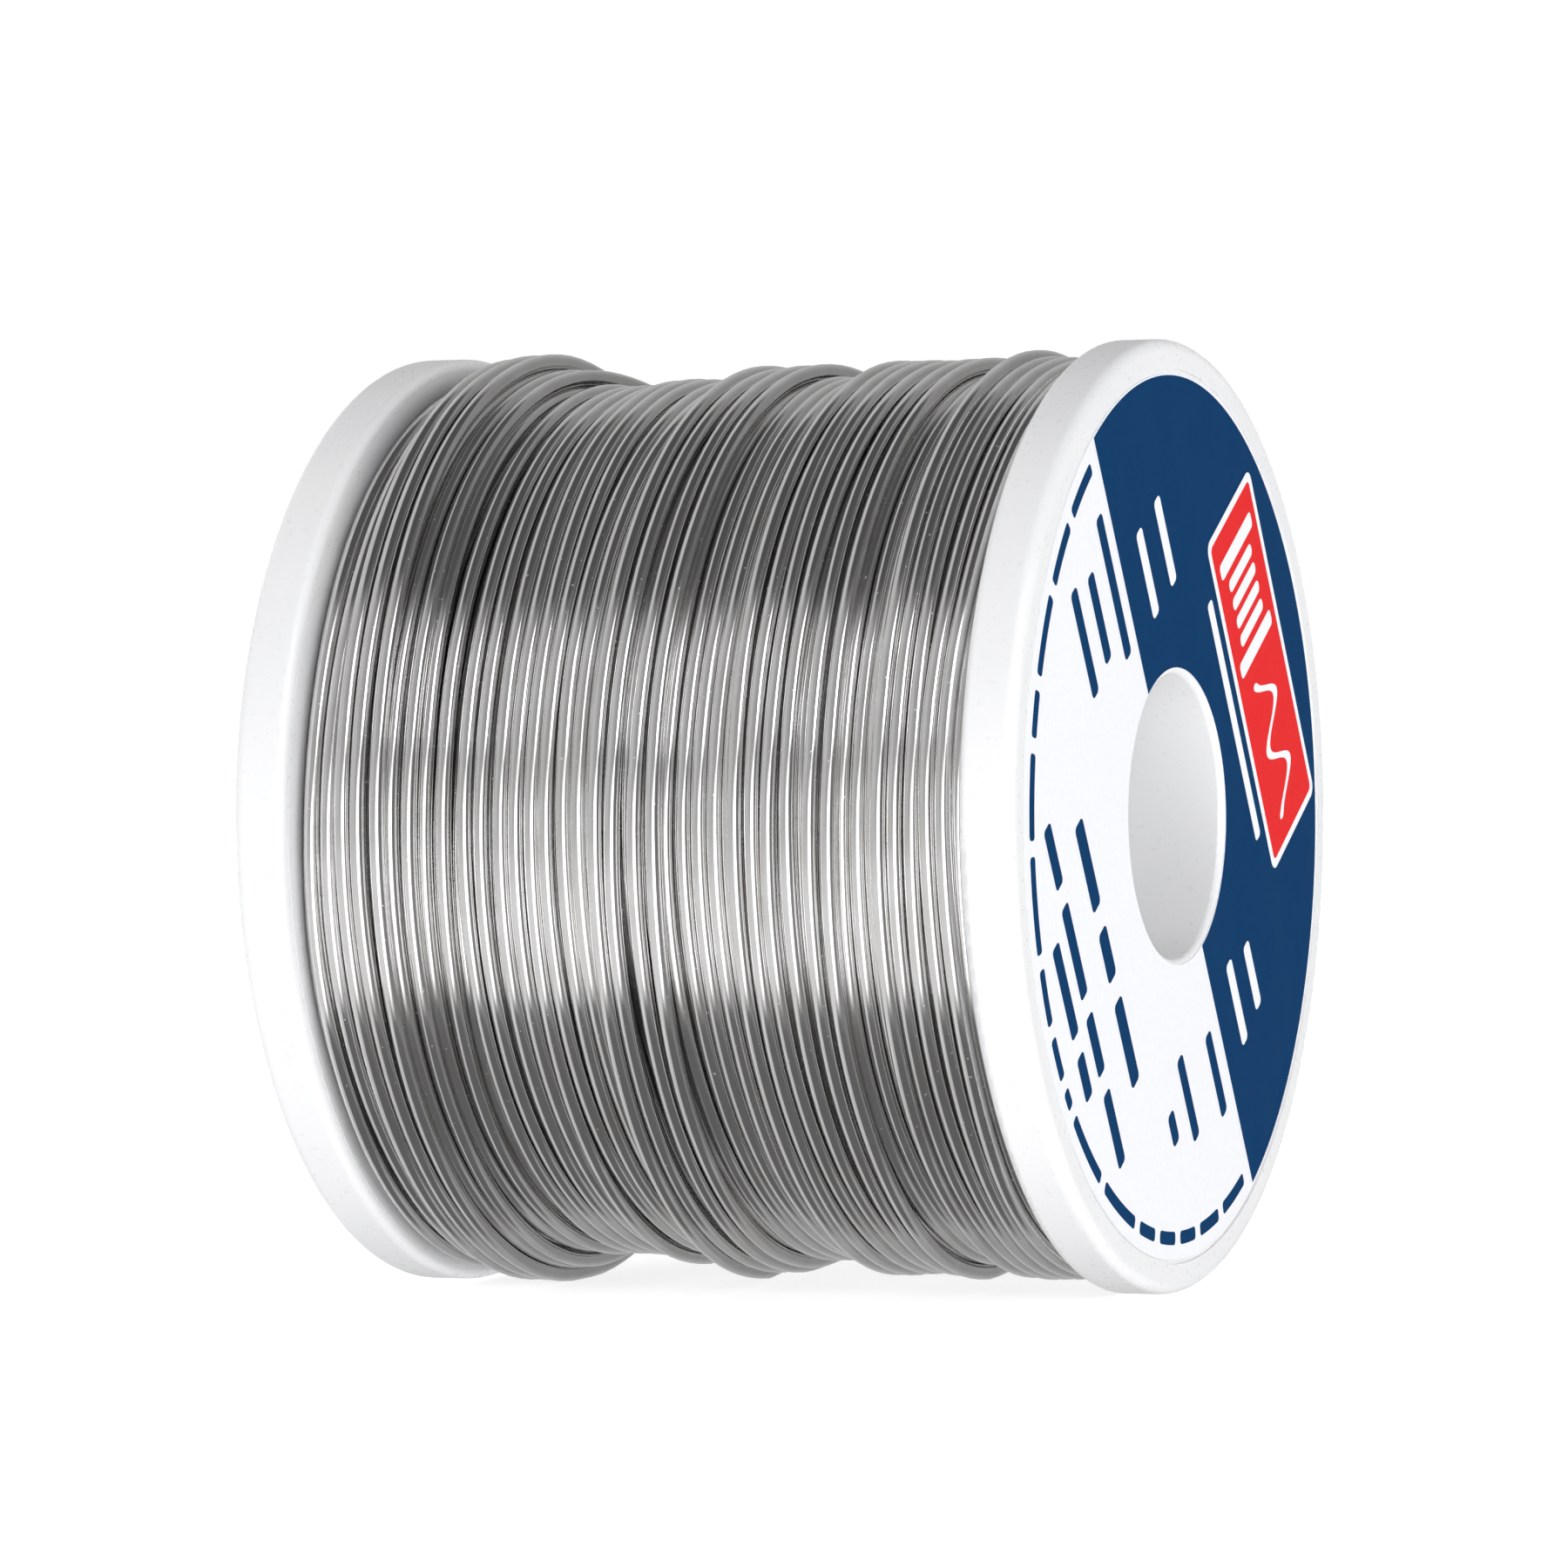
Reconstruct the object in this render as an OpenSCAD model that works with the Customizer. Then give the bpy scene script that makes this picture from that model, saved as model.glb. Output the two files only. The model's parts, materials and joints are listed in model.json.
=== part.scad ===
// Plastic reel of flux-cored solder wire, lying on its two flange rims.
// The reel's axis is X, +Z is up, and the origin is the middle of the spindle bore.
// The labelled flange is the front one, at +X.

/* [Reel] */
// Diameter of both flanges
flange_d = 70; // [70:1:90]
// Width of the reel over both flange faces
reel_w = 60; // [50:1:80]
// Thickness of a flange at its rim
flange_t = 4.1; // [3.8:0.1:6]
// Rounding of the rim on its outer side
rim_round = 0.9; // [0.5:0.1:1.5]
// Diameter of the drum that the wire is wound on
drum_d = 51; // [46:1:51]
// Wall of the drum tube
drum_wall = 1.8; // [1.4:0.1:2.2]

/* [Spindle bore] */
// Diameter of the hole that a bench stand's spindle goes through
bore_d = 21; // [16:0.5:22]
// Wall of the hub tube around the bore
hub_wall = 2.2; // [1.6:0.1:2.4]

/* [Label] */
// Diameter of the printed label
label_d = 65; // [60:1:65]
// Thickness of the label
label_t = 0.12; // [0.1:0.01:0.16]
// Depth of the seat that the label is stuck in
label_seat = 0.2; // [0.18:0.01:0.3]

/* [Solder wire] */
// Diameter of the wire
wire_d = 1.2; // [1:0.1:1.2]
// Diameter of the flux core inside the wire
flux_d = 0.46; // [0.3:0.02:0.5]
// Distance from one turn to the next
turn_pitch = 1.32; // [1.26:0.01:1.4]
// Height from one layer of turns to the next
layer_step = 1.03; // [1.03:0.01:1.1]

/* [Hidden] */
$fn = 96;
cut = 1;                          // how far a cutting shape runs past a face

// Flanges
half_w = reel_w / 2;
flange_r = flange_d / 2;
guide_face = half_w - flange_t;   // the side of a flange that guides the wire
guide_round = 0.7;                // rounding of the rim on that side
web_face = half_w - 2.4;          // inner side of the thinner web inside the drum
seat_r = label_d / 2 + 0.3;       // the label's seat is a little wider than the label
bore_r = bore_d / 2;
bore_lip = 0.4;                   // rounding where the bore meets the label's seat

// Hub tube and drum, and the rings on each flange that hold their ends
hub_r = bore_r + hub_wall;
drum_r = drum_d / 2;
drum_bore_r = drum_r - drum_wall;
push_gap = 0.05;                  // radial play of a tube on its ring
ring_wall = 1.4;
ring_end = guide_face - 3;        // how far in the rings and ribs reach
rib_count = 6;
rib_t = 1.5;

// Way in for the start of the wire, midway between two ribs
start_deg = 180 / rib_count;
start_gap = 2.4;

// Wire
wire_r = wire_d / 2;
layer_count = 7;
turn_web = 0.5;                   // thin band that joins the turns of one layer
side_gap = 0.15;                  // least room between the outermost turns and the flanges
first_layer_r = drum_r + wire_r + 0.05;
layer_turns = floor((2 * guide_face - wire_d - 2 * side_gap) / turn_pitch) + 1;
first_turn = -(layer_turns - 1) * turn_pitch / 2;
tail_r = (hub_r + drum_bore_r) / 2;
tail_deg = 16;
bend_r = wire_r + 0.04;           // the knee of the bend is a touch fatter than the wire
// The last pass lies in the grooves of the outermost whole layer in four groups of turns:
// how many grooves in from the rear flange each group starts, and how many turns it has.
top_groups = [[1, 6], [17, 4], [25, 6], [33, 5]];
end_groove = 0;                   // the groove that the free end lies in
end_start_deg = 10;
end_deg = 110;
core_play = 0.01;                 // radial play between the flux core and the alloy

// Turns a shape made around Z so that its axis is the reel's axis, X.
module along_reel() {
    rotate([0, 90, 0]) children();
}

// A ring around Z from height low to height high.
module ring(inner_r, outer_r, low, high) {
    rotate_extrude() translate([inner_r, low]) square([outer_r - inner_r, high - low]);
}

// A flange disc's cross-section: rounded rim, seat for the label, thinner web in the middle.
module flange_outline() {
    difference() {
        union() {
            translate([bore_r, guide_face]) square([flange_r - bore_r - rim_round, flange_t]);
            translate([bore_r, guide_face + guide_round])
                square([flange_r - bore_r, flange_t - guide_round - rim_round]);
            translate([flange_r - rim_round, half_w - rim_round]) circle(rim_round);
            translate([flange_r - guide_round, guide_face + guide_round]) circle(guide_round);
        }
        translate([0, half_w - label_seat]) square([seat_r, label_seat + cut]);
        translate([0, guide_face - cut])
            square([drum_bore_r - push_gap - ring_wall, web_face - guide_face + cut]);
        bore_lip_outline();
    }
}

// What is cut away to round the edge of the bore at the label's seat.
module bore_lip_outline() {
    lip_top = half_w - label_seat;
    difference() {
        translate([bore_r - cut, lip_top - bore_lip]) square([bore_lip + cut, bore_lip + cut]);
        translate([bore_r + bore_lip, lip_top - bore_lip]) circle(bore_lip);
    }
}

// The ribs that stiffen the web, between the hub's ring and the drum's ring.
module web_ribs() {
    inner = hub_r + push_gap + ring_wall / 2;
    outer = drum_bore_r - push_gap - ring_wall / 2;
    for (i = [0:rib_count - 1])
        rotate(i * 360 / rib_count)
            translate([inner, -rib_t / 2, ring_end])
                cube([outer - inner, rib_t, web_face - ring_end + 0.2]);
}

// One flange moulding, made with its outer face up. Both flanges are the same moulding.
module flange_moulding() {
    difference() {
        union() {
            rotate_extrude() flange_outline();
            ring(hub_r + push_gap, hub_r + push_gap + ring_wall, ring_end, web_face + 0.2);
            ring(drum_bore_r - push_gap - ring_wall, drum_bore_r - push_gap,
                ring_end, web_face + 0.2);
            web_ribs();
        }
        start_gap_cut();
    }
}

// Gap in the drum's ring that the start of the wire passes through.
module start_gap_cut() {
    rotate(start_deg)
        translate([drum_bore_r - push_gap - ring_wall - cut, -start_gap / 2, ring_end - cut])
            cube([ring_wall + cut + push_gap, start_gap, guide_face - ring_end + cut]);
}

module front_flange() {
    color("whitesmoke") along_reel() flange_moulding();
}

module rear_flange() {
    color("whitesmoke") along_reel() mirror([0, 0, 1]) flange_moulding();
}

// The tube that the wire is wound on, with a notch for the start of the wire.
module winding_drum() {
    notch_depth = 2.2;
    color("gainsboro") along_reel() difference() {
        ring(drum_bore_r, drum_r, -guide_face, guide_face);
        rotate(start_deg)
            translate([drum_bore_r - cut, -start_gap / 2, -guide_face - cut])
                cube([drum_wall + 2 * cut, start_gap, notch_depth + cut]);
    }
}

// The tube that lines the bore between the two flange webs.
module hub_tube() {
    color("white") along_reel() ring(bore_r, hub_r, -web_face, web_face);
}

module front_label() {
    label_floor = half_w - label_seat;
    color("midnightblue") along_reel()
        ring(bore_r + bore_lip, label_d / 2, label_floor, label_floor + label_t);
}

// Radius of the middle of the wire in a layer, counted from 1.
function layer_r(layer) = first_layer_r + (layer - 1) * layer_step;

// Each second layer lies in the grooves of the one below, so it starts half a turn along.
function layer_shift(layer) = layer % 2 == 0 ? 0.5 : 0;

// Turns side by side at one radius, from the height where the first one lies.
module wire_turns(radius, start, turns) {
    color("silver") along_reel() rotate_extrude() {
        for (turn = [0:turns - 1])
            translate([radius, start + turn * turn_pitch]) circle(wire_r, $fn = 24);
        translate([radius - turn_web / 2, start]) square([turn_web, (turns - 1) * turn_pitch]);
    }
}

// One layer of turns from flange to flange.
module wire_layer(layer) {
    wire_turns(layer_r(layer), first_turn + layer_shift(layer) * turn_pitch,
        layer_turns - 2 * layer_shift(layer));
}

// Height of a groove of the outermost whole layer, counted from 0 at the rear flange.
function groove_height(groove) = first_turn + (groove + 0.5) * turn_pitch;

// One group of turns of the last pass.
module wire_top_turns(group) {
    wire_turns(layer_r(layer_count + 1), groove_height(top_groups[group - 1][0]),
        top_groups[group - 1][1]);
}

// The first few millimetres of wire: through the notch, then along inside the drum.
module wire_start_tail() {
    color("silver") along_reel() rotate(start_deg) translate([0, 0, first_turn]) {
        translate([tail_r, 0, 0]) rotate([0, 90, 0])
            cylinder(r = wire_r, h = drum_r - tail_r, $fn = 24);
        translate([tail_r, 0, 0]) sphere(bend_r, $fn = 24);
        rotate_extrude(angle = tail_deg) translate([tail_r, 0]) circle(wire_r, $fn = 24);
    }
}

// An arc of the last turn, around the back, where the wire ends.
module end_arc() {
    along_reel() translate([0, 0, groove_height(end_groove)]) rotate(end_start_deg)
        rotate_extrude(angle = end_deg) translate([layer_r(layer_count + 1), 0]) children();
}

// The last stretch of wire, with the hole that its flux core fills.
module wire_free_end() {
    color("silver") end_arc() difference() {
        circle(wire_r, $fn = 24);
        circle(flux_d / 2, $fn = 24);
    }
}

module flux_core() {
    color("goldenrod") end_arc() circle(flux_d / 2 - core_play, $fn = 24);
}

rear_flange();
front_flange();
winding_drum();
hub_tube();
front_label();
wire_start_tail();
for (layer = [1:layer_count])
    wire_layer(layer);
for (group = [1:len(top_groups)])
    wire_top_turns(group);
wire_free_end();
flux_core();
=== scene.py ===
"""Looks for a reel of solder wire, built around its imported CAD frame.

The reel's axis is X, its labelled flange faces +X, +Z is up and the origin is the middle of the bore.
Angles round the reel are in degrees from the bottom: 90 is the back, 180 the top and 270 the front.
"""

import json
import math

import bpy
import numpy as np
from mathutils import Matrix, Vector


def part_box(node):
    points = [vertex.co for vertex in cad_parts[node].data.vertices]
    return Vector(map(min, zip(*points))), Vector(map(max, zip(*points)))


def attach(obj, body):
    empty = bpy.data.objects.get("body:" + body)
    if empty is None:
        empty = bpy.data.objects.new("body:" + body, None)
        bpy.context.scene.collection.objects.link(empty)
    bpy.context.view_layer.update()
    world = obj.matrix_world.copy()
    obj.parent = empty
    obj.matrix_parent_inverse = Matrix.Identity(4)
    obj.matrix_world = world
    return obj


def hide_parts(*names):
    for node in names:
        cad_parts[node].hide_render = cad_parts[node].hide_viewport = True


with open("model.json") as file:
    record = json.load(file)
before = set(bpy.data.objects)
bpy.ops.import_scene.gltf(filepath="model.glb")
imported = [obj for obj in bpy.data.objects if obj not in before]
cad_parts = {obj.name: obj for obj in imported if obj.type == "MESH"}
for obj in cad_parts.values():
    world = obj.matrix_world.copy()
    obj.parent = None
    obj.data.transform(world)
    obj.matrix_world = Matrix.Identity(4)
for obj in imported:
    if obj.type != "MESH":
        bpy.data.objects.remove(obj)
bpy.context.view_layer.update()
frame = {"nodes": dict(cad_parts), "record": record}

MM = 0.001
SEED = 18
rng = np.random.default_rng(SEED)

# ---------------------------------------------------------------- sizes, from the frame

RIM_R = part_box("front_flange")[1].z
FACE_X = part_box("front_flange")[1].x
GUIDE_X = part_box("winding_drum")[1].x
DRUM_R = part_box("winding_drum")[1].z
LABEL_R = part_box("front_label")[1].z
LABEL_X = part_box("front_label")[1].x
WIRE_R = (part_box("wire_free_end")[1].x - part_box("wire_free_end")[0].x) / 2
CORE_R = (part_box("flux_core")[1].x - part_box("flux_core")[0].x) / 2
BORE_R = next(m for m in frame["record"]["mounts"] if m["name"] == "spindle_bore")["dims"]["r_mm"] * MM
FIRST_LAYER_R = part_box("wire_layer_1")[1].z - WIRE_R
ODD_END_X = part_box("wire_layer_1")[1].x - WIRE_R
EVEN_END_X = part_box("wire_layer_2")[1].x - WIRE_R
LAYERS = sum(node.startswith("wire_layer_") for node in frame["nodes"])
PITCH = 2 * (ODD_END_X - EVEN_END_X)
TAIL_R = 18.2 * MM          # radius of the start of the wire, inside the drum
TAIL_DEG = 16               # how far it runs on there from the notch
START_DEG = 30              # the notch in the drum
LEAD_DEG = 6                # from the notch to where the first turn lies on the drum
END_DEG = 120               # where the cut end of the wire lies
END_ARC_DEG = 10            # where the last stretch of wire starts
BEND_R = 2.4 * MM           # how tightly the start of the wire is bent
SHARP = math.radians(50)    # edges bent more than this are shaded as edges

# ---------------------------------------------------------------- nodes for materials


class Nodes:
    """A material's node tree, with short calls to add and join nodes."""

    def __init__(self, name):
        self.material = bpy.data.materials.new(name)
        self.material.use_nodes = True
        self.tree = self.material.node_tree
        self.tree.nodes.clear()
        self.shader = self.add("ShaderNodeBsdfPrincipled")
        out = self.add("ShaderNodeOutputMaterial")
        self.tree.links.new(self.shader.outputs["BSDF"], out.inputs["Surface"])

    def add(self, kind, **settings):
        node = self.tree.nodes.new(kind)
        for key, value in settings.items():
            setattr(node, key, value)
        return node

    def put(self, socket, value):
        """Sets a socket to a number or colour, or links it to another node's output."""
        if isinstance(value, bpy.types.NodeSocket):
            self.tree.links.new(value, socket)
        else:
            socket.default_value = value

    def set(self, **values):
        """Sets inputs of the shader: Base_Color is the input Base Color."""
        for name, value in values.items():
            self.put(self.shader.inputs[name.replace("_", " ")], value)

    def math(self, operation, a, b=0.0):
        node = self.add("ShaderNodeMath", operation=operation)
        self.put(node.inputs[0], a)
        self.put(node.inputs[1], b)
        return node.outputs[0]

    def place(self, scale=(1, 1, 1), attribute=None):
        """Where the surface is: in the object's own metres, or by a vector stored on the mesh."""
        if attribute:
            where = self.add("ShaderNodeAttribute", attribute_name=attribute).outputs["Vector"]
        else:
            where = self.add("ShaderNodeTexCoord").outputs["Object"]
        mapping = self.add("ShaderNodeMapping")
        self.put(mapping.inputs["Vector"], where)
        mapping.inputs["Scale"].default_value = scale
        return mapping.outputs["Vector"]

    def noise(self, where, scale, detail=2.0, roughness=0.5):
        node = self.add("ShaderNodeTexNoise")
        self.put(node.inputs["Vector"], where)
        node.inputs["Scale"].default_value = scale
        node.inputs["Detail"].default_value = detail
        node.inputs["Roughness"].default_value = roughness
        return node.outputs["Fac"]

    def spread(self, value, low, high, to_low, to_high):
        """Maps a value from one range to another, held at the ends."""
        node = self.add("ShaderNodeMapRange")
        for name, x in zip(("Value", "From Min", "From Max", "To Min", "To Max"),
                           (value, low, high, to_low, to_high)):
            self.put(node.inputs[name], x)
        return node.outputs["Result"]

    def mix(self, share, a, b):
        """Blends two colours."""
        node = self.add("ShaderNodeMix", data_type="RGBA")
        self.put(node.inputs[0], share)
        self.put(node.inputs[6], a)
        self.put(node.inputs[7], b)
        return node.outputs[2]

    def bump(self, height, depth, strength=1.0):
        node = self.add("ShaderNodeBump")
        self.put(node.inputs["Height"], height)
        node.inputs["Distance"].default_value = depth
        node.inputs["Strength"].default_value = strength
        self.put(self.shader.inputs["Normal"], node.outputs["Normal"])


def grey(value, warmth=0.0):
    return (value * (1 + warmth), value, value * (1 - warmth), 1)


# ---------------------------------------------------------------- materials


def solder_alloy():
    """Bright drawn tin-lead wire: long faint die lines, a patchy film and a few specks of dust."""
    n = Nodes("solder_alloy")
    lines = n.noise(n.place((1, 1, 0.012), "wire_place"), 9000, 3, 0.6)
    patches = n.noise(n.place(), 260, 3)
    specks = n.noise(n.place(), 2600, 1)
    speck = n.spread(specks, 0.755, 0.78, 0, 1)
    film = n.mix(n.spread(patches, 0.35, 0.7, 0, 1), grey(0.80, 0.004), grey(0.72, 0.012))
    n.set(
        Base_Color=n.mix(n.math("MULTIPLY", speck, 0.5), film, grey(0.92)),
        Metallic=1.0,
        Roughness=n.math("ADD", n.spread(patches, 0.3, 0.7, 0.10, 0.19), n.math("MULTIPLY", speck, 0.3)),
    )
    n.bump(n.math("ADD", lines, n.math("MULTIPLY", speck, 0.8)), 0.006 * MM, 0.5)
    return n.material


def cut_alloy():
    """The end that side cutters leave: the same alloy, smeared and duller."""
    n = Nodes("cut_alloy")
    smear = n.noise(n.place((1, 1, 0.15)), 5200, 3)
    n.set(Base_Color=grey(0.66), Metallic=1.0, Roughness=n.spread(smear, 0.3, 0.7, 0.28, 0.45))
    n.bump(smear, 0.02 * MM, 0.6)
    return n.material


def flux_resin():
    n = Nodes("flux_resin")
    cloud = n.noise(n.place(), 3800, 3)
    n.set(
        Base_Color=n.mix(cloud, (0.52, 0.27, 0.05, 1), (0.80, 0.55, 0.18, 1)),
        Roughness=n.spread(cloud, 0.3, 0.7, 0.12, 0.3),
    )
    n.bump(cloud, 0.02 * MM)
    return n.material


def reel_plastic():
    """Glossy white moulded polystyrene: a hardly wavy skin with fine rubs and faint flow marks."""
    n = Nodes("reel_plastic")
    waves = n.noise(n.place(), 70, 2)
    skin = n.noise(n.place(), 2400, 3, 0.6)
    rubs = n.noise(n.place((0.25, 1, 1)), 900, 4, 0.7)
    rub = n.spread(rubs, 0.6, 0.72, 0, 1)
    white = n.mix(n.spread(waves, 0.3, 0.7, 0, 1), (0.83, 0.835, 0.85, 1), (0.86, 0.862, 0.87, 1))
    n.set(
        Base_Color=n.mix(n.math("MULTIPLY", rub, 0.25), white, (0.80, 0.80, 0.81, 1)),
        Roughness=n.math("ADD", n.spread(skin, 0.3, 0.7, 0.26, 0.36), n.math("MULTIPLY", rub, 0.12)),
        IOR=1.55,
    )
    n.bump(n.math("ADD", n.math("MULTIPLY", waves, 6.0), skin), 0.008 * MM, 0.6)
    return n.material


def drum_plastic():
    n = Nodes("drum_plastic")
    skin = n.noise(n.place(), 1500, 3)
    n.set(Base_Color=n.mix(skin, grey(0.74), grey(0.80)), Roughness=n.spread(skin, 0.3, 0.7, 0.42, 0.55))
    n.bump(skin, 0.02 * MM, 0.5)
    return n.material


def coated_print(name, colour, fibre_colour):
    """Print on coated paper: faint fibres in the colour and in the gloss."""
    n = Nodes(name)
    fibres = n.noise(n.place(), 2200, 4, 0.65)
    cloud = n.noise(n.place(), 160, 2)
    n.set(
        Base_Color=n.mix(n.spread(fibres, 0.3, 0.75, 0, 1), colour, fibre_colour),
        Roughness=n.spread(cloud, 0.3, 0.7, 0.34, 0.44),
        Specular_IOR_Level=0.01,
    )
    n.bump(fibres, 0.004 * MM, 0.5)
    return n.material


def floor_paper_painted_shadow():
    """White paper that glows, least near the reel and most a little way off: a painted shadow round the
    reel.
    """
    n = Nodes("floor_paper_painted_shadow")
    grain = n.noise(n.place(), 400, 2)
    away = n.add("ShaderNodeVectorMath", operation="LENGTH")
    n.put(away.inputs[0], n.place())
    n.set(
        Base_Color=n.mix(grain, grey(0.90), grey(0.92)),
        Roughness=0.9,
        Emission_Color=grey(1.0),
        # painted shadow: the glow is dimmer close to the reel and full from half a metre away
        Emission_Strength=n.spread(away.outputs["Value"], 0.12, 0.5, 0.65, 1.0),
    )
    return n.material


def white_light():
    """The far backdrop, as white as paper under the same lamps."""
    n = Nodes("white_light")
    n.set(Base_Color=grey(0.0), Roughness=1.0, Emission_Color=grey(1.0), Emission_Strength=1.0)
    return n.material


# ---------------------------------------------------------------- meshes


def new_piece(name, vertices, faces, material, replaces=()):
    """A mesh piece that rides on the reel and stands for the named CAD nodes."""
    mesh = bpy.data.meshes.new(name)
    mesh.from_pydata([tuple(map(float, v)) for v in vertices], [], faces)
    mesh.materials.append(material)
    mesh.polygons.foreach_set("use_smooth", [True] * len(mesh.polygons))
    mesh.set_sharp_from_angle(angle=SHARP)
    mesh.update()
    piece = bpy.data.objects.new(name, mesh)
    bpy.context.scene.collection.objects.link(piece)
    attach(piece, "root")
    if replaces:
        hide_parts(*replaces)
    return piece


def use_material(node, material):
    """Gives a CAD node, whose shape stays, its finished material."""
    slots = frame["nodes"][node].data.materials
    slots.clear()
    slots.append(material)


# ---------------------------------------------------------------- how the wire is wound

STATIONS = 120              # places along one turn
CONTACT = 2 * WIRE_R * 0.97 # soft wire dents a little where it crosses other wire
SLIDES = np.linspace(-0.42, 0.42, 15) * MM  # how far a turn may slide off the guide's line
GRIP = 1.6 / MM             # how hard the guide holds the wire against sliding into a groove
SIDE_PLAY = 0.04 * MM       # least room between the wire and a flange
SOFTEN_ROUNDS = 14          # how much the wire's stiffness rounds off sideways steps
TIGHTEN_ROUNDS = 24         # how far the wire bridges the dips under it
NOWHERE = 9.0               # the place, far off, of stations that hold no wire yet
NEAT_TURNS = 180            # from here on the turns lie less and less neatly
LOOSE_TURNS = 235           # from here on they lie as loosely as they ever do
SWAY = (150, 0.34 * MM)     # long waves of the outer turns: stations, size
WOBBLE = (22, 0.13 * MM)    # short waves of the outer turns

# The groups of turns of the eighth pass: turns in the group, x in mm where the next group starts.
TOP_GROUPS = ((3.9, 15.6), (5.5, 2.7), (3.5, -16.3))
# The last group, by the rear flange: turns since its start and x in mm. Its turns lie side by side up to
# the second place, then cross back over themselves, and from the third place the wire runs to the flange.
REAR_GROUP = ((5.0, -22.9), (5.25, -22.9), (8.6, -18.3), (8.95, -EVEN_END_X / MM))
REAR_TURNS = 9.5


def wander(count, length, size):
    """A smooth random line of that many stations, whose waves are about length stations long."""
    raw = rng.normal(size=count + 8 * length)
    reach = np.arange(-4 * length, 4 * length + 1)
    kernel = np.exp(-0.5 * (reach / length) ** 2)
    smooth = np.convolve(raw, kernel / np.sqrt((kernel**2).sum()), "same")
    return size * smooth[4 * length: 4 * length + count]


def guide_points():
    """(turns since the bottom, x) at each change of the winding guide's pace, and where layers end.

    Each pass runs from flange to flange, waits there for part of a turn and comes back. The eighth
    pass stops short: it lays four groups of turns with quick steps between them, all at the back.
    By the rear flange it lies over its last turns for about three more, and runs back to end there.
    """
    points = [((START_DEG + LEAD_DEG) / 360, -ODD_END_X)]
    layer_ends = []
    at = 0.25
    side = 1
    for layer in range(1, LAYERS + 1):
        end_x = ODD_END_X if layer % 2 else EVEN_END_X
        turns = round(2 * end_x / PITCH)
        points.append((at, -side * end_x))
        points.append((at + turns, side * end_x))
        at += turns + (rng.uniform(0.35, 0.75) if layer < LAYERS else 0.5)
        layer_ends.append(at - 0.2)
        side = -side
    at = math.ceil(at) + 0.1
    x = EVEN_END_X
    points.append((at, x))
    for turns, next_x in TOP_GROUPS:
        x -= turns * PITCH
        points.append((at + turns, x))
        at = round(at + turns) + 0.5
        x = next_x * MM
        points.append((at, x))
        layer_ends.append(at - 0.25)
    for turns, next_x in REAR_GROUP:
        points.append((at + turns, next_x * MM))
    end = at + REAR_TURNS
    points.append((end + END_ARC_DEG / 360, -EVEN_END_X))
    points.append((end + END_DEG / 360, -EVEN_END_X))
    layer_ends += [end + END_ARC_DEG / 360, end + END_DEG / 360]
    return np.array(points), layer_ends


def smooth(line):
    """One round of averaging each value with its two neighbours."""
    padded = np.concatenate([line[:1], line, line[-1:]])
    return 0.25 * padded[:-2] + 0.5 * padded[1:-1] + 0.25 * padded[2:]


def settle(floor, before):
    """Pulls the wire as tight as what lies under it allows, going on smoothly from the last turn."""
    under = np.concatenate([before, floor])
    line = under
    for _ in range(TIGHTEN_ROUNDS):
        line = np.maximum(under, smooth(line))
        line[:len(before)] = before
    return line[len(before):]


def soften(line, before):
    """Rounds off sideways steps of the wire, going on smoothly from the last turn."""
    whole = np.concatenate([before, line])
    for _ in range(SOFTEN_ROUNDS):
        whole = smooth(whole)
        whole[:len(before)] = before
    return whole[len(before):]


def resting_radius(x, laid_x, laid_r):
    """Radius at which wire at x (stations, places) rests on the drum or on wire already laid."""
    apart = x[:, :, None] - laid_x[:, None, :]
    touching = np.abs(apart) < CONTACT
    lift = np.sqrt(np.maximum(CONTACT**2 - apart**2, 0))
    on_wire = np.where(touching, laid_r[:, None, :] + lift, 0).max(axis=2)
    return np.maximum(on_wire, FIRST_LAYER_R)


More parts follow.
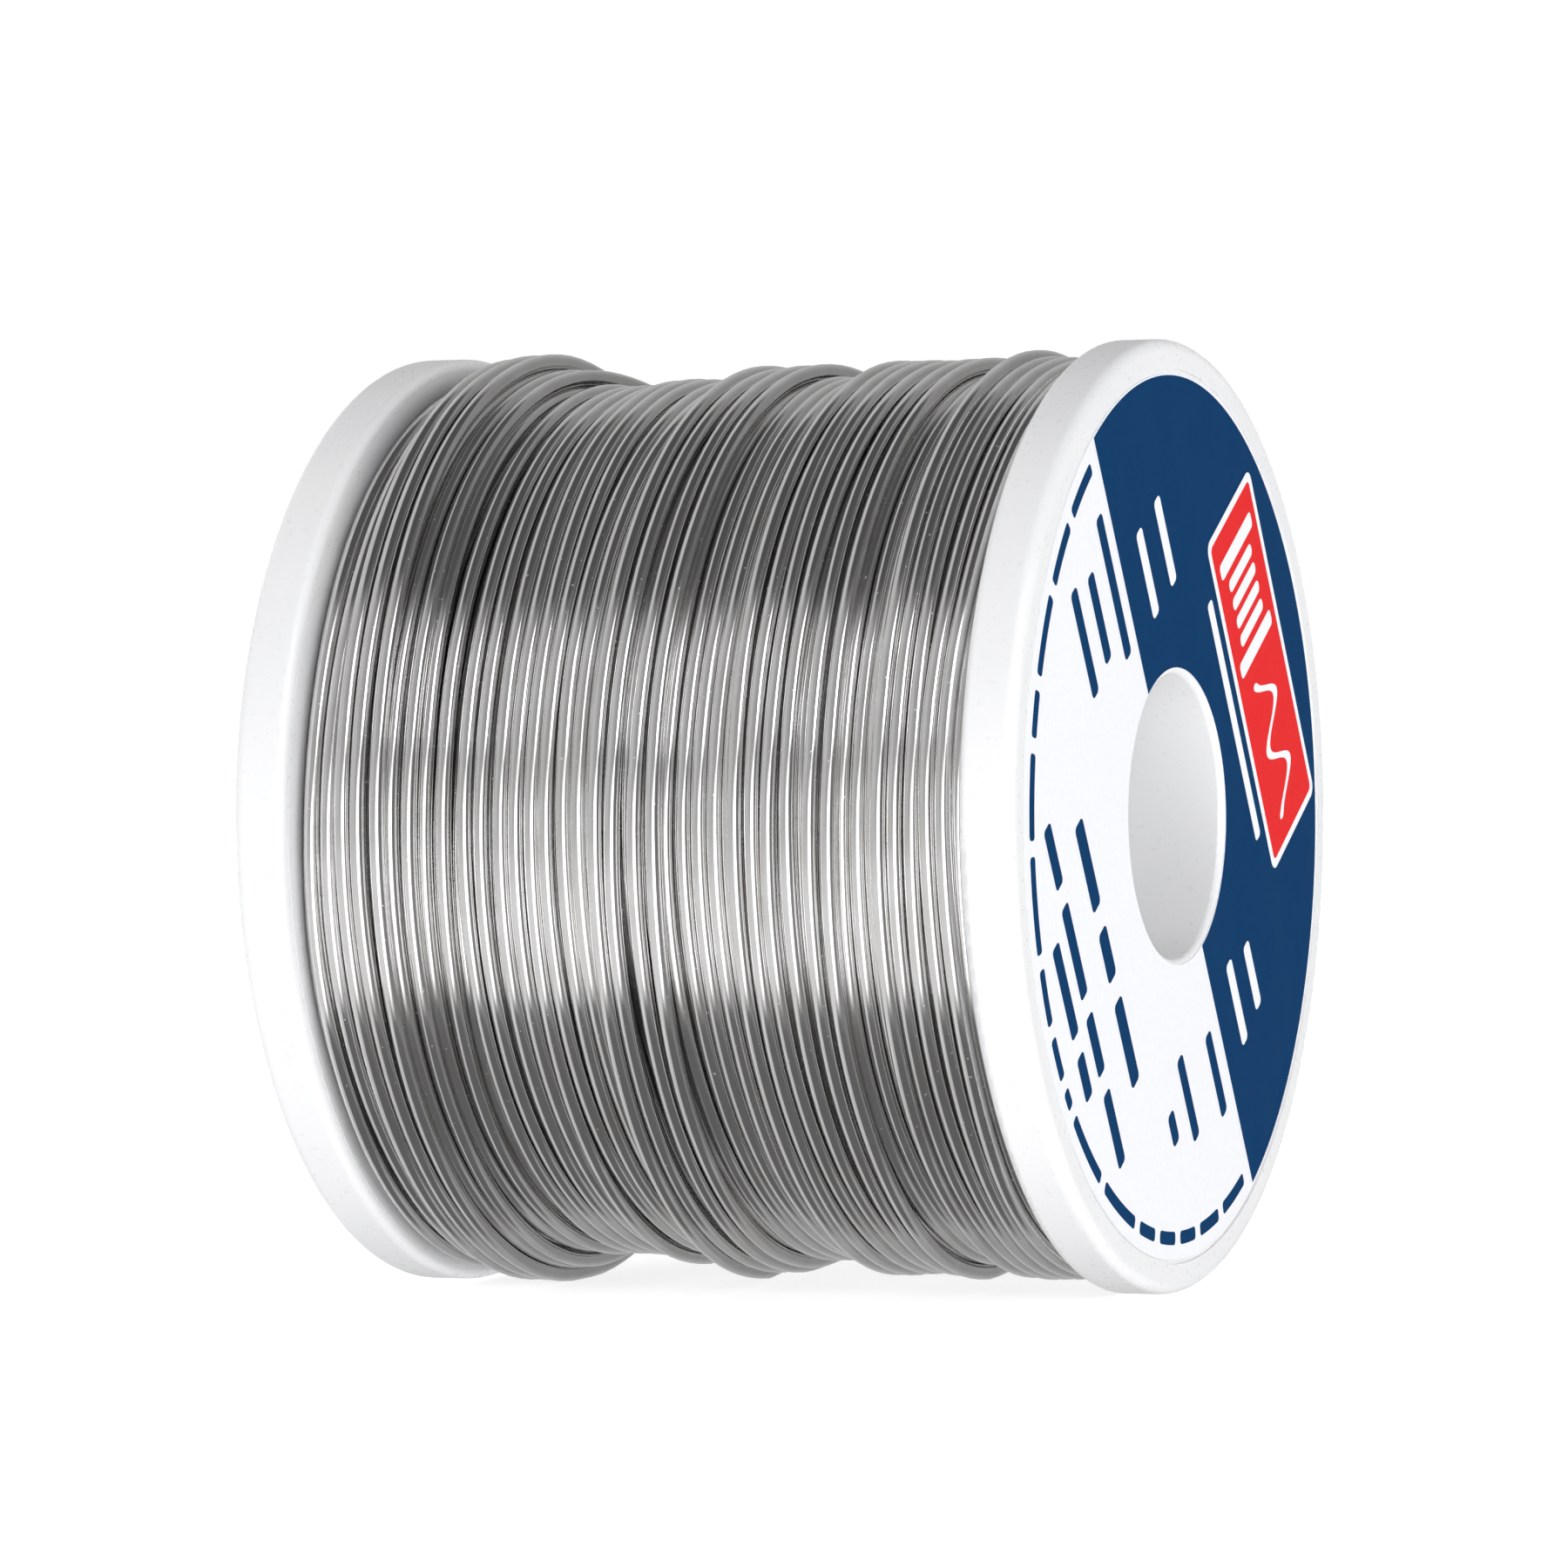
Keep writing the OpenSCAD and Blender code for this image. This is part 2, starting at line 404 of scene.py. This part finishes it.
def wind():
    """Lays the whole wire turn by turn: (turns since the bottom, x, radius) at every station."""
    points, layer_ends = guide_points()
    first = round(points[0, 0] * STATIONS)
    last = round(points[-1, 0] * STATIONS)
    count = last + 1
    turns = math.ceil(count / STATIONS)
    total = turns * STATIONS
    at = np.arange(total) / STATIONS
    guide = np.interp(at, points[:, 0], points[:, 1])
    loose = np.interp(at, (NEAT_TURNS, LOOSE_TURNS), (0.15, 1.0))
    loose = loose * (1 - (guide / ODD_END_X) ** 8)
    guide = guide + loose * (wander(total, *SWAY) + wander(total, *WOBBLE))
    side_limit = GUIDE_X - WIRE_R - SIDE_PLAY
    guide = np.clip(guide, -side_limit, side_limit).reshape(turns, STATIONS)
    laid_x = np.full((turns, STATIONS), NOWHERE)
    laid_r = np.zeros((turns, STATIONS))
    reach = 2 * round(2 * ODD_END_X / PITCH) + 8   # turns laid earlier than that are buried
    # Round the bottom, the wire can lie no further out than the floor that the rims stand on.
    ground = RIM_R / np.maximum(np.cos(2 * np.pi * at[:STATIONS]), 0.5) - WIRE_R
    last_x, last_r = guide[0, :1], np.full(1, FIRST_LAYER_R)
    for turn in range(turns):
        start = max(0, turn - reach)
        near_x = laid_x[start:turn].T
        near_r = laid_r[start:turn].T
        places = np.clip(guide[turn][:, None] + SLIDES, -side_limit, side_limit)
        x = guide[turn]
        if turn:
            cost = resting_radius(places, near_x, near_r) + GRIP * (places - x[:, None]) ** 2
            x = places[np.arange(STATIONS), cost.argmin(axis=1)]
        x = soften(x, last_x)
        floor = np.full(STATIONS, FIRST_LAYER_R)
        if turn:
            floor = resting_radius(x[:, None], near_x, near_r)[:, 0]
        r = np.minimum(settle(floor, last_r), ground)
        laid_x[turn] = x
        laid_r[turn] = r
        if turn == 0:
            laid_x[0, :first] = NOWHERE
            laid_r[0, :first] = 0
        last_x, last_r = x[-6:], r[-6:]
    x = laid_x.ravel()[first:count]
    r = laid_r.ravel()[first:count]
    return at[first:count], x, r, layer_ends


def ring_point(turns, x, r):
    """Points in the reel's frame from turns since the bottom, place along the reel and radius."""
    angle = 2 * np.pi * np.asarray(turns)
    return np.stack([x, r * np.sin(angle), -r * np.cos(angle)], axis=1)


def around(line, radius, sides):
    """Points in rings of one radius round each point of a line."""
    tangent = np.gradient(line, axis=0)
    tangent /= np.linalg.norm(tangent, axis=1)[:, None]
    across = np.array([1.0, 0, 0]) - tangent[:, :1] * tangent
    across /= np.linalg.norm(across, axis=1)[:, None]
    out = np.cross(tangent, across)
    angle = 2 * np.pi * np.arange(sides) / sides
    ring = np.cos(angle)[None, :, None] * across[:, None] + np.sin(angle)[None, :, None] * out[:, None]
    return (line[:, None] + radius * ring).reshape(-1, 3)


def skin(count, sides, first=0, inward=False):
    """The faces between the rings of a round piece, whose points start at number first."""
    row = np.arange(count - 1)[:, None] * sides + first
    column = np.arange(sides)[None]
    beside = (column + 1) % sides
    faces = np.stack([row + column, row + beside, row + sides + beside, row + sides + column], axis=2)
    faces = faces.reshape(-1, 4)
    return (faces[:, ::-1] if inward else faces).tolist()


def store_wire_place(piece, line, radii, sides):
    """Stores the place on the wire, across and along it, for its material."""
    along = np.concatenate([[0], np.cumsum(np.linalg.norm(np.diff(line, axis=0), axis=1))])
    angle = 2 * np.pi * np.arange(sides) / sides
    place = [np.stack([
        np.tile(radius * np.cos(angle), len(line)),
        np.tile(radius * np.sin(angle), len(line)),
        np.repeat(along, sides),
    ], axis=1) for radius in radii]
    stored = piece.data.attributes.new("wire_place", "FLOAT_VECTOR", "POINT")
    stored.data.foreach_set("vector", np.concatenate(place).astype(np.float32).ravel())


def rod(name, line, radius, sides, material, node):
    """A solid round piece along a line of points, closed at both ends."""
    count = len(line)
    ends = [list(range(sides))[::-1], list(range((count - 1) * sides, count * sides))]
    faces = skin(count, sides) + ends
    piece = new_piece(name, around(line, radius, sides), faces, material, [node])
    store_wire_place(piece, line, [radius], sides)


def cored_wire(name, line, sides, material, cut_material, node):
    """Wire that shows the hole for its flux core, and the marks of the cutters, at both ends."""
    count = len(line)
    vertices = np.concatenate([around(line, WIRE_R, sides), around(line, CORE_R, sides)])
    faces = skin(count, sides) + skin(count, sides, count * sides, inward=True)
    skin_faces = len(faces)
    for ring, step in ((0, -1), (count - 1, 1)):
        for side in range(sides):
            beside = (side + step) % sides
            outer = [ring * sides + side, ring * sides + beside]
            inner = [(count + ring) * sides + beside, (count + ring) * sides + side]
            faces.append(outer + inner)
    piece = new_piece(name, vertices, faces, material, [node])
    piece.data.materials.append(cut_material)
    for face in piece.data.polygons[skin_faces:]:
        face.material_index = 1
    store_wire_place(piece, line, [WIRE_R, CORE_R], sides)


def arc_line(centre, radius, start, end, step=3.0):
    """Points (turns, radius) of an arc about a centre given as (sideways, outward) from the notch."""
    angle = np.radians(np.linspace(start, end, max(2, round(abs(end - start) / step) + 1)))
    return np.stack([centre[0] + radius * np.sin(angle), centre[1] + radius * np.cos(angle)], axis=1)


def tail_line():
    """The start of the wire: along inside the drum, out through the notch and on to the drum."""
    lean = BEND_R - 0.3 * MM    # the bends' centres, beside the middle of the notch
    inner = (lean, math.sqrt((TAIL_R + BEND_R) ** 2 - lean**2))
    outer = (lean, math.sqrt((FIRST_LAYER_R - BEND_R) ** 2 - lean**2))
    leaves = math.degrees(math.asin(lean / (TAIL_R + BEND_R)))
    lands = math.degrees(math.asin(lean / (FIRST_LAYER_R - BEND_R)))
    flat = np.concatenate([
        arc_line((0, 0), TAIL_R, TAIL_DEG, leaves),
        arc_line(inner, BEND_R, 180 + leaves, 270, 10)[1:],
        arc_line(outer, BEND_R, -90, lands, 10),
        arc_line((0, 0), FIRST_LAYER_R, lands, LEAD_DEG)[1:],
    ])
    turns = np.arctan2(flat[:, 0], flat[:, 1]) / (2 * np.pi) + START_DEG / 360
    return ring_point(turns, np.full(len(flat), -ODD_END_X), np.hypot(flat[:, 0], flat[:, 1]))


def wire_pieces():
    """The whole wire, one piece for each stretch that the CAD has as a node."""
    alloy = solder_alloy()
    at, x, r, layer_ends = wind()
    line = ring_point(at, x, r)
    rod("solder_wire_start", tail_line(), WIRE_R, 14, alloy, "wire_start_tail")
    names = [f"wire_layer_{layer}" for layer in range(1, LAYERS + 1)]
    names += [f"wire_top_turns_{group}" for group in (4, 3, 2, 1)]
    cuts = [round((end - at[0]) * STATIONS) for end in [at[0]] + layer_ends]
    for name, first, last in zip(names, cuts, cuts[1:]):
        sides = 14 if "top" in name or name[-1] in "67" else 8
        rod("solder_" + name, line[first:last + 1], WIRE_R, sides, alloy, name)
    end = line[cuts[-2]:cuts[-1] + 1]
    cored_wire("solder_wire_free_end", end, 20, alloy, cut_alloy(), "wire_free_end")
    rod("flux_core_thread", end, CORE_R, 20, flux_resin(), "flux_core")
    length = np.linalg.norm(np.diff(line, axis=0), axis=1).sum()
    print(f"wire length {length:.2f} m, radius {r.min():.5f} to {r.max():.5f}")


# ---------------------------------------------------------------- the printed label

LABEL_TURN = math.radians(-58.95)   # how far the print is turned round from upright
LABEL_ACROSS = Vector((0, math.cos(LABEL_TURN), math.sin(LABEL_TURN)))
LABEL_UP = Vector((0, -math.sin(LABEL_TURN), math.cos(LABEL_TURN)))
INK_STEP = 0.012 * MM               # thickness of one coat of ink
HORIZON = -0.64                     # the lower edge of the navy part, in mm above the middle

# The print is set out in mm across and up from the middle of the label. Where it would be lettered,
# there is one plain bar for each word: across, up, letter height, weight, letters in each word.
LINES_ON_NAVY = (
    (0.9, 14.7, 2.1, 0.55, (16,)),
    (-18.4, 8.6, 2.4, 0.58, (5,)),
    (-18.4, 4.0, 2.4, 0.58, (5,)),
    (19.2, 7.8, 2.4, 0.58, (4,)),
    (18.9, 3.7, 2.4, 0.58, (5,)),
)
LINES_ON_WHITE = (
    (-21.3, -2.8, 2.4, 0.58, (8,)),
    (-21.0, -6.6, 2.4, 0.58, (5,)),
    (-21.1, -10.2, 2.4, 0.58, (6,)),
    (20.7, -3.2, 2.4, 0.58, (5,)),
    (18.6, -9.4, 2.4, 0.58, (5,)),
    (18.6, -13.3, 2.4, 0.58, (2,)),
    (0.0, -18.3, 2.4, 0.74, (5, 3, 5)),
    (0.0, -23.9, 2.1, 0.72, (4, 6, 4, 5)),
    (0.0, -27.0, 2.1, 0.72, (6, 3)),
)
EMBLEM = (1.1, 22.2)
RIM_WORDS = (6, 6, 7, 4, 7, 8, 5, 4, 2, 8, 8, 4, 4, 4, 5, 6)


def arc_outline(radius, start, end, step=2.0):
    angles = np.radians(np.linspace(start, end, max(2, round(abs(end - start) / step) + 1)))
    return [(radius * math.cos(a), radius * math.sin(a)) for a in angles]


def box_outline(width, height, corner, step=0.6):
    """A box with round corners about (0, 0), with points all along its sides."""
    outline = []
    for turn, (right, top) in enumerate(((1, -1), (1, 1), (-1, 1), (-1, -1))):
        centre = (right * (width / 2 - corner), top * (height / 2 - corner))
        for x, y in arc_outline(corner, 90 * turn - 90, 90 * turn, 15):
            outline.append((centre[0] + x, centre[1] + y))
    dense = []
    for a, b in zip(outline, outline[1:] + outline[:1]):
        count = max(1, round(math.dist(a, b) / step))
        for k in range(count):
            dense.append((a[0] + (b[0] - a[0]) * k / count, a[1] + (b[1] - a[1]) * k / count))
    return dense


def shifted(outline, across, up):
    return [(x + across, y + up) for x, y in outline]


def bent(outline, radius, degrees):
    """Bends an outline round the label's lower rim, with its top towards the middle."""
    bent_points = []
    for x, y in outline:
        angle = math.radians(degrees) + x / radius
        bent_points.append(((radius - y) * math.cos(angle), (radius - y) * math.sin(angle)))
    return bent_points


def word_bars(words, height, weight, letter):
    """The bars of one line, centred: (how far along, outline) for each word."""
    whole = (sum(words) + len(words) - 1) * letter
    along = -whole / 2
    bars = []
    for letters in words:
        width = letters * letter
        bar = box_outline(width - 0.25 * letter, weight * height, 0.18 * height)
        bars.append((along + width / 2, bar))
        along += width + letter
    return bars


def text_lines(lines):
    """Bars for straight lines of words."""
    shapes = []
    for across, up, height, weight, words in lines:
        for along, bar in word_bars(words, height, weight, 0.63 * height):
            shapes.append(shifted(bar, across + along, up))
    return shapes


def rim_line():
    """Bars for the long line that follows the label's lower rim, from 184 to 356 degrees."""
    radius, height = 30.9, 1.7
    letter = math.radians(172) * radius / (sum(RIM_WORDS) + len(RIM_WORDS) - 1)
    bars = word_bars(RIM_WORDS, height, 0.58, letter)
    return [bent(bar, radius, 270 + math.degrees(along / radius)) for along, bar in bars]


def navy_part():
    """The part of the label above its horizon, round the bore."""
    outer, inner = LABEL_R / MM - 0.13, BORE_R / MM + 0.45
    outer_start = math.degrees(math.asin(HORIZON / outer))
    inner_start = math.degrees(math.asin(HORIZON / inner))
    return (arc_outline(outer, outer_start, 180 - outer_start)
            + arc_outline(inner, 180 - inner_start, inner_start, 4))


def emblem_reel():
    """A plain pictogram: a reel seen from the side, with its wire running off in waves."""
    shapes = [shifted(box_outline(1.3, 8.4, 0.4), across, 0) for across in (-11.0, -2.4)]
    for turn in range(4):
        shapes.append(shifted(box_outline(1.0, 6.0, 0.45), -9.1 + 1.6 * turn, 0))
    wave = box_outline(12.0, 1.0, 0.45, 0.3)
    shapes.append([(x + 6.0, y - 1.9 * math.cos(2 * math.pi * x / 6.0)) for x, y in wave])
    return shapes


def ink(name, shapes, material, coat):
    """Flat shapes printed on the label, as thin solids, on top of the coats below."""
    low = LABEL_X + (coat - 1) * INK_STEP
    vertices, faces = [], []
    for shape in shapes:
        first, count = len(vertices), len(shape)
        for x in (low, low + INK_STEP):
            for across, up in shape:
                vertices.append(Vector((x, 0, 0)) + (across * LABEL_ACROSS + up * LABEL_UP) * MM)
        faces.append([first + count + k for k in range(count)])
        faces.append([first + k for k in reversed(range(count))])
        for k in range(count):
            beside = (k + 1) % count
            faces.append([first + k, first + beside, first + count + beside, first + count + k])
    new_piece(name, vertices, faces, material)


def label():
    """Coated white paper, printed navy above the horizon, with bars where there would be words."""
    use_material("front_label", coated_print("label_paper", (0.86, 0.87, 0.90, 1), (0.82, 0.83, 0.86, 1)))
    navy = coated_print("navy_ink", (0.0006, 0.036, 0.120, 1), (0.0010, 0.042, 0.132, 1))
    white = coated_print("white_ink", (0.88, 0.89, 0.90, 1), (0.84, 0.85, 0.87, 1))
    red = coated_print("red_ink", (0.78, 0.021, 0.022, 1), (0.72, 0.018, 0.020, 1))
    ink("label_navy_part", [navy_part()], navy, 1)
    ink("label_lines_on_navy", text_lines(LINES_ON_NAVY), white, 2)
    ink("label_lines_on_white", text_lines(LINES_ON_WHITE) + rim_line(), navy, 1)
    ink("emblem_border", [shifted(box_outline(28.8, 11.7, 0.9), *EMBLEM)], white, 2)
    ink("emblem_field", [shifted(box_outline(27.5, 10.4, 0.5), *EMBLEM)], red, 3)
    ink("emblem_reel", [shifted(shape, *EMBLEM) for shape in emblem_reel()], white, 4)


# ---------------------------------------------------------------- stage, lights and camera

BACKDROP_R = 4.5            # in metres
LAMP_SIZE = 1.0
LENS = 167.6
CAMERA_PLACE = (0.20586, -0.50654, 0.01305)
CAMERA_TURN = (22.24, 1.10, -0.75)  # degrees: azimuth, elevation and roll


class Sky(Nodes):
    """The studio round the reel, as light by direction: azimuth 0 is the front, 90 is +X."""

    def __init__(self):
        world = bpy.data.worlds.new("studio")
        bpy.context.scene.world = world
        world.use_nodes = True
        world.cycles_visibility.diffuse = False
        self.tree = world.node_tree
        self.tree.nodes.clear()
        self.background = self.add("ShaderNodeBackground")
        out = self.add("ShaderNodeOutputWorld")
        self.tree.links.new(self.background.outputs[0], out.inputs["Surface"])
        parts = self.add("ShaderNodeSeparateXYZ")
        self.put(parts.inputs[0], self.add("ShaderNodeTexCoord").outputs["Generated"])
        x, y, z = parts.outputs
        self.x = x
        self.azimuth = self.math("DEGREES", self.math("ARCTAN2", x, self.math("MULTIPLY", y, -1)))
        self.elevation = self.math("DEGREES", self.math("ARCSINE", z))

    def ramp(self, value, low, high, to_low=0.0, to_high=1.0):
        node = self.add("ShaderNodeMapRange", interpolation_type="SMOOTHSTEP")
        for name, x in zip(("Value", "From Min", "From Max", "To Min", "To Max"),
                           (value, low, high, to_low, to_high)):
            self.put(node.inputs[name], x)
        return node.outputs["Result"]

    def band(self, value, low, high, soft):
        """1 between low and high, 0 outside, with soft edges."""
        rise = self.ramp(value, low - soft, low + soft)
        fall = self.ramp(value, high - soft, high + soft, 1.0, 0.0)
        return self.math("MULTIPLY", rise, fall)

    def patch(self, azimuths, elevations, soft, light, lean=0.0):
        """A soft box, whose upper and lower edges rise by lean degrees for each degree to the right."""
        across = self.band(self.azimuth, *azimuths, soft)
        level = self.math("SUBTRACT", self.elevation, self.math("MULTIPLY", self.azimuth, lean))
        up = self.band(level, *elevations, soft)
        return self.math("MULTIPLY", self.math("MULTIPLY", across, up), light)

    def largest(self, first, *others):
        for light in others:
            first = self.math("MAXIMUM", first, light)
        return first

    def shine(self, lights):
        total = lights[0]
        for light in lights[1:]:
            total = self.math("ADD", total, light)
        self.put(self.background.inputs["Strength"], total)


def studio():
    """Two soft boxes by the camera, pale walls all round, and dark above and below."""
    sky = Sky()
    front = sky.ramp(sky.azimuth, -20, 70, 0.72, 0.22)
    front = sky.math("MULTIPLY", front, sky.ramp(sky.elevation, -14, 8, 1.4, 0.8))
    back = sky.ramp(sky.x, -0.6, 0.6, 0.68, 0.34)
    behind = sky.ramp(sky.math("ABSOLUTE", sky.azimuth), 95, 125)
    all_round = sky.math("ADD", front, sky.math("MULTIPLY", behind, sky.math("SUBTRACT", back, front)))
    walls = sky.math("MULTIPLY", sky.band(sky.elevation, -42, 56, 6), all_round)
    low_back = sky.math("MULTIPLY", sky.band(sky.elevation, -62, -36, 6), behind)
    left_wall = sky.ramp(sky.x, -0.5, -0.3, 0.74, 0.0)
    dark = sky.ramp(sky.elevation, -30, 30, 0.17, 0.11)
    upper_box = sky.patch((36, 64), (18, 42), 2.5, 4.0)
    lower_box = sky.patch((6, 40), (-42, 7), 5.0, 3.0, 0.25)
    room = sky.largest(walls, sky.math("MULTIPLY", low_back, 0.5), left_wall, dark)
    sky.shine([room, upper_box, lower_box])


def fill_lights():
    """Large soft lamps that light the plastic and the floor, and are not seen in the wire."""
    for name, place, power in (
        ("front_left_fill", (-0.9, -1.1, 0.1), 11.0),
        ("front_right_fill", (1.1, -0.9, 0.0), 16.4),
        ("right_fill", (1.4, 0.1, 0.1), 7.0),
        ("left_fill", (-1.4, 0.1, 0.1), 14.0),
        ("back_fill", (0.2, 1.4, 0.1), 14.0),
        ("low_fill", (0.3, -0.6, -1.2), 13.0),
        ("top_fill", (0.0, -0.4, 1.4), 7.0),
    ):
        data = bpy.data.lights.new(name, "AREA")
        data.size = LAMP_SIZE
        data.energy = power
        lamp = bpy.data.objects.new(name, data)
        bpy.context.scene.collection.objects.link(lamp)
        lamp.location = place
        lamp.rotation_euler = Vector(place).to_track_quat("Z", "Y").to_euler()
        lamp.visible_glossy = False
        lamp.visible_camera = False


def camera():
    data = bpy.data.cameras.new("camera")
    data.lens = LENS
    data.sensor_width = 36
    data.clip_start = 0.01
    data.clip_end = 100
    seen_from = bpy.data.objects.new("camera", data)
    bpy.context.scene.collection.objects.link(seen_from)
    azimuth, elevation, roll = (math.radians(a) for a in CAMERA_TURN)
    forward = Vector((
        -math.sin(azimuth) * math.cos(elevation),
        math.cos(azimuth) * math.cos(elevation),
        -math.sin(elevation),
    ))
    right = Vector((math.cos(azimuth), math.sin(azimuth), 0))
    up = right.cross(forward)
    right, up = (
        right * math.cos(roll) + up * math.sin(roll),
        up * math.cos(roll) - right * math.sin(roll),
    )
    turn = Matrix((right, up, -forward)).transposed()
    seen_from.matrix_world = Matrix.Translation(CAMERA_PLACE) @ turn.to_4x4()
    bpy.context.scene.camera = seen_from


def floor():
    side = BACKDROP_R
    z = -RIM_R
    corners = [(-side, -side, z), (side, -side, z), (side, side, z), (-side, side, z)]
    mesh = bpy.data.meshes.new("floor")
    mesh.from_pydata(corners, [], [(0, 1, 2, 3)])
    mesh.materials.append(floor_paper_painted_shadow())
    plane = bpy.data.objects.new("floor", mesh)
    bpy.context.scene.collection.objects.link(plane)
    plane.visible_glossy = False
    plane.visible_diffuse = False
    plane.visible_shadow = False


def backdrop():
    """A white dome over the whole floor, which only the camera sees."""
    around_it, up_it = 48, 12
    vertices = [(0, 0, BACKDROP_R - RIM_R)]
    for ring in range(1, up_it + 1):
        height = math.radians(90 - 90 * ring / up_it)
        out = BACKDROP_R * math.cos(height)
        up = BACKDROP_R * math.sin(height) - RIM_R
        for k in range(around_it):
            angle = 2 * math.pi * k / around_it
            vertices.append((out * math.cos(angle), out * math.sin(angle), up))
    faces = [(0, 1 + k, 1 + (k + 1) % around_it) for k in range(around_it)]
    for ring in range(up_it - 1):
        low = 1 + ring * around_it
        for k in range(around_it):
            beside = (k + 1) % around_it
            faces.append((low + k, low + around_it + k, low + around_it + beside, low + beside))
    mesh = bpy.data.meshes.new("backdrop")
    mesh.from_pydata(vertices, [], faces)
    mesh.materials.append(white_light())
    dome = bpy.data.objects.new("backdrop", mesh)
    bpy.context.scene.collection.objects.link(dome)
    dome.visible_glossy = False
    dome.visible_diffuse = False
    dome.visible_shadow = False


# ---------------------------------------------------------------- the whole scene

wire_pieces()
white_plastic = reel_plastic()
for node in ("front_flange", "rear_flange", "hub_tube"):
    use_material(node, white_plastic)
use_material("winding_drum", drum_plastic())
label()
floor()
backdrop()
studio()
fill_lights()
camera()
bpy.context.scene.view_settings.view_transform = "Standard"
